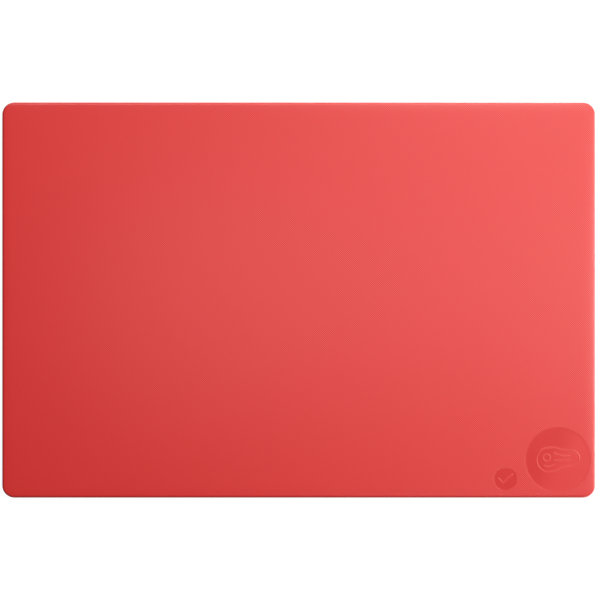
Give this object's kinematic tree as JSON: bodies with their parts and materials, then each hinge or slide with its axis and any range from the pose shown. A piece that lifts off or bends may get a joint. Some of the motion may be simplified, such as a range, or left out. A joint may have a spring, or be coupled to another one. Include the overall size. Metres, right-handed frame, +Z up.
{
  "type": "cutting board",
  "caption": "Rectangular solid plastic cutting board with rounded corners and rims, a finely embossed cutting face and shallow round marks in one corner.",
  "frame": {"origin": "middle of the underside, on the surface the board lies on", "axes": "+Z up, out of the cutting face; +X along the board, towards the end with the two marks; +Y across it, away from the marks"},
  "size_m": [0.4572, 0.3048, 0.0127],
  "materials": {
    "red_polyethylene": "satin"
  },
  "bodies": {
    "root": {"board": "red_polyethylene"}
  },
  "joints": []
}
